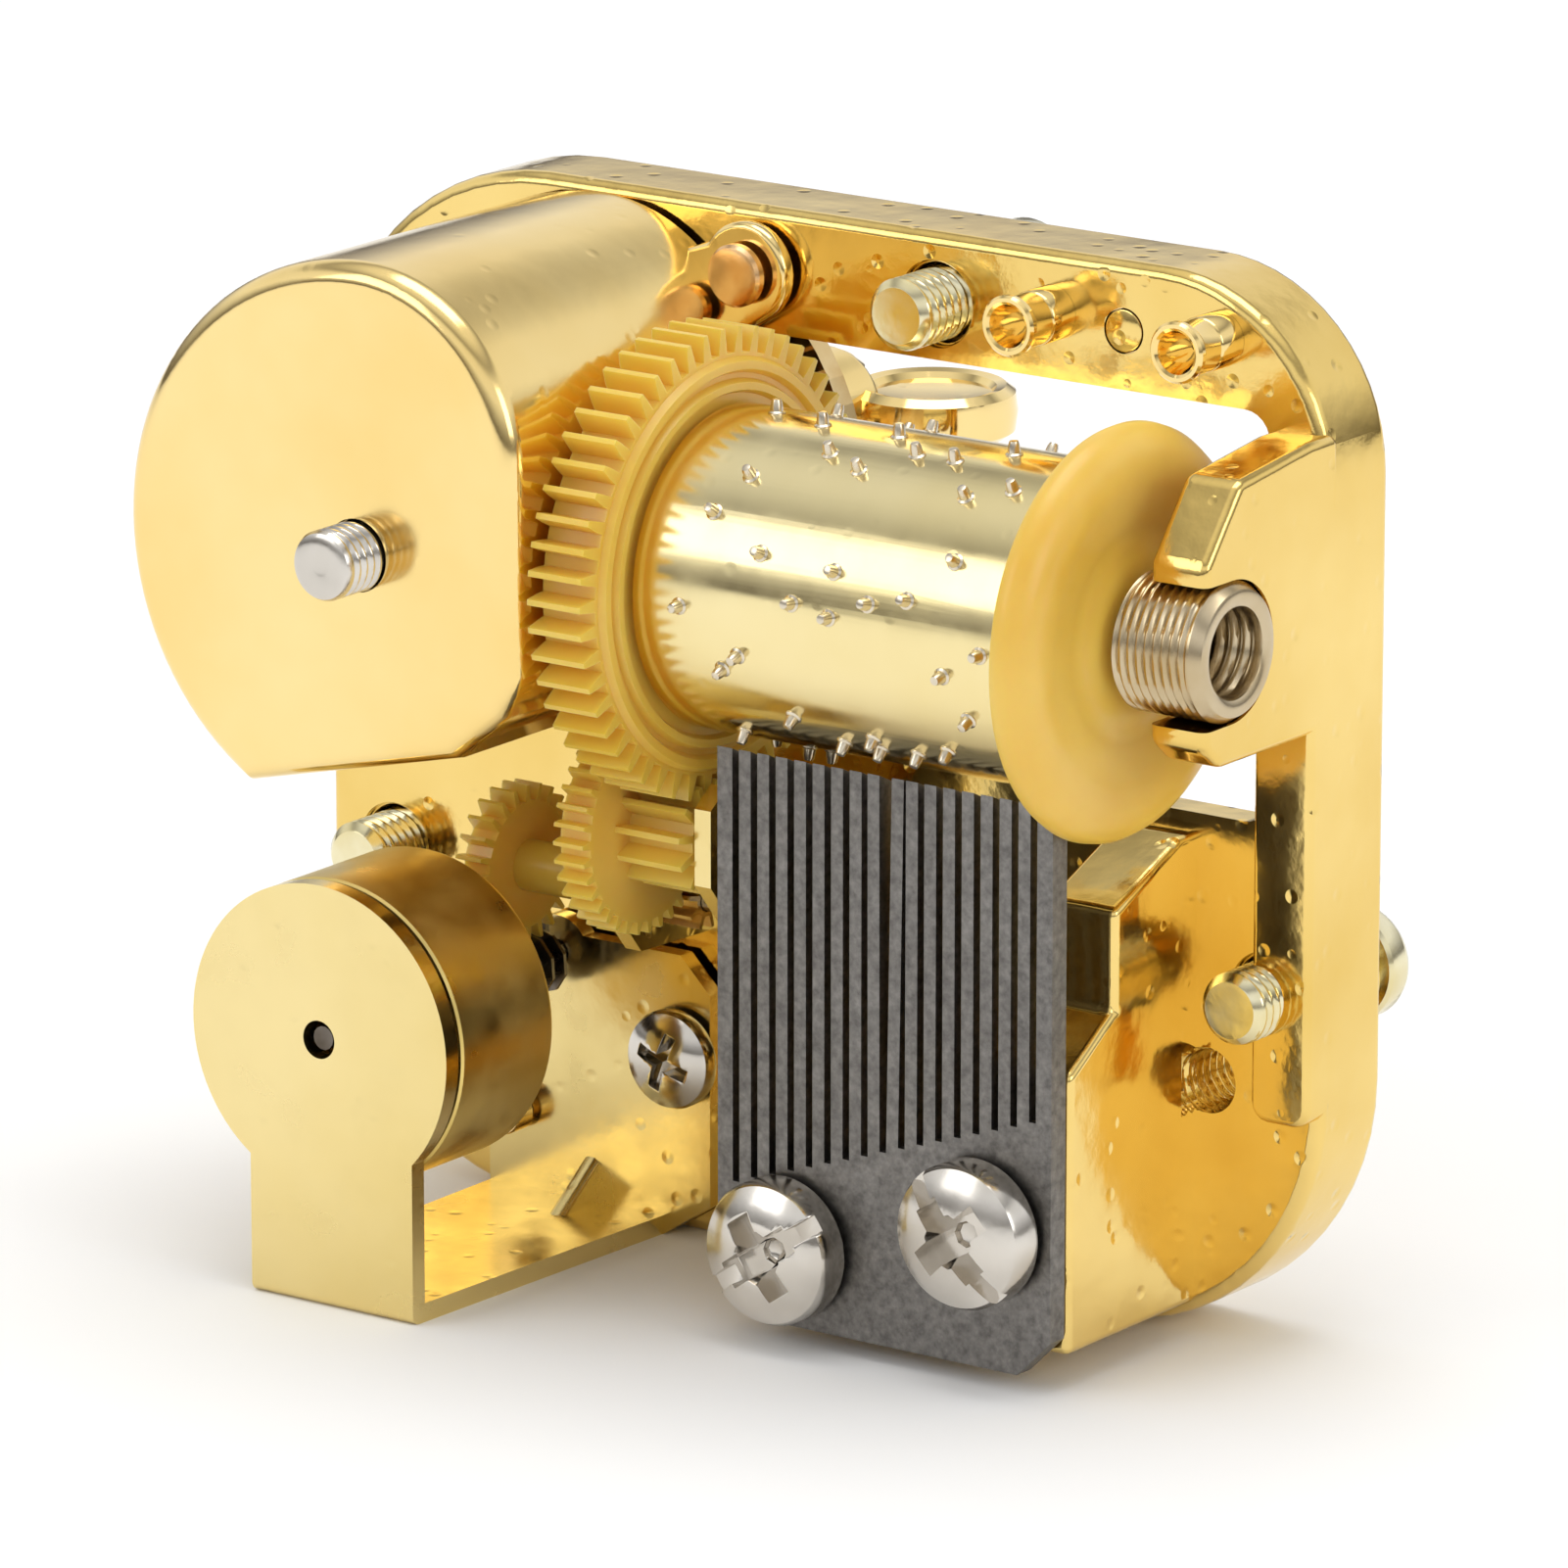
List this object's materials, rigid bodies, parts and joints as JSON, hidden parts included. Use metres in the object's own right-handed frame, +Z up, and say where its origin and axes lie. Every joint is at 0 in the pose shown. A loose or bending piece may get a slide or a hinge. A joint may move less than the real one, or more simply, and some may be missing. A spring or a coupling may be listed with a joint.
{
  "type": "cylinder music box movement",
  "caption": "Wind-up music movement: die-cast bedplate with spring housing, pinned cylinder plucking a steel comb, plastic gear train, governor and butterfly key.",
  "frame": {"origin": "middle of the bedplate's lower edge face, at mid depth of its rim", "axes": "+X along the cylinder towards its bush, +Y out of the open back towards the key, +Z up from the edge it stands on"},
  "size_m": [0.0503, 0.0405, 0.044],
  "materials": {
    "gold_plate": "mirror-bright gold plating, faint pits",
    "brass": "bright turned brass, lightly nickelled",
    "comb_steel": "dark hardened steel, satin, ground across",
    "nickel": "bright nickel plating",
    "dark_steel": "oiled dark steel",
    "acetal": "translucent yellow moulded acetal",
    "copper": "copper-coloured rivet head"
  },
  "bodies": {
    "frame": {"bearing_bush": "brass", "bedplate": "gold_plate", "bracket_screw": "nickel", "bracket_stud": "brass", "comb": "comb_steel", "comb_screw_left": "nickel", "comb_screw_right": "nickel", "governor_bracket": "gold_plate", "governor_can": "gold_plate", "hollow_post_left": "gold_plate", "hollow_post_right": "gold_plate", "housing_rivet_lower": "copper", "housing_rivet_upper": "copper", "mainspring": "dark_steel", "mounting_screw_left": "gold_plate", "mounting_screw_right": "gold_plate", "mounting_screw_top": "gold_plate", "rail_plug": "gold_plate", "spring_housing": "gold_plate", "train_bracket": "gold_plate"},
    "cylinder": {"cylinder_sleeve": "gold_plate", "cylinder_gear": "acetal", "cylinder_cap": "acetal", "cylinder_arbor": "nickel"},
    "winding_train": {"winding_arbor": "nickel", "great_wheel": "brass", "click_washer": "nickel", "winding_key": "gold_plate"},
    "second_wheel_set": {"second_wheel": "acetal", "second_arbor": "nickel"},
    "third_wheel_set": {"third_wheel": "acetal", "third_pinion": "brass", "third_arbor": "nickel"},
    "governor": {"governor_shaft": "dark_steel", "friction_weight_upper": "brass", "friction_weight_lower": "brass"}
  },
  "joints": [
    {"name": "cylinder_spin", "type": "hinge", "parent": "frame", "child": "cylinder", "pos_m": [0.008, -0.00901, 0.0309], "axis": [1, 0, 0], "continuous": true},
    {"name": "winding_spin", "type": "hinge", "parent": "frame", "child": "winding_train", "pos_m": [-0.01024, 0, 0.03175], "axis": [0, 1, 0], "continuous": true},
    {"name": "second_wheel_spin", "type": "hinge", "parent": "frame", "child": "second_wheel_set", "pos_m": [-0.001, -0.00985, 0.01973], "axis": [1, 0, 0], "continuous": true},
    {"name": "third_wheel_spin", "type": "hinge", "parent": "frame", "child": "third_wheel_set", "pos_m": [-0.008, -0.00615, 0.0158], "axis": [1, 0, 0], "continuous": true},
    {"name": "governor_spin", "type": "hinge", "parent": "frame", "child": "governor", "pos_m": [-0.01224, -0.00615, 0.0113], "axis": [0, 1, 0], "continuous": true}
  ],
  "couplings": [
    {"joint": "winding_spin", "follows": "cylinder_spin", "ratio": -0.96296},
    {"joint": "second_wheel_spin", "follows": "cylinder_spin", "ratio": -4.3333},
    {"joint": "third_wheel_spin", "follows": "cylinder_spin", "ratio": 17.333},
    {"joint": "governor_spin", "follows": "cylinder_spin", "ratio": -416}
  ]
}
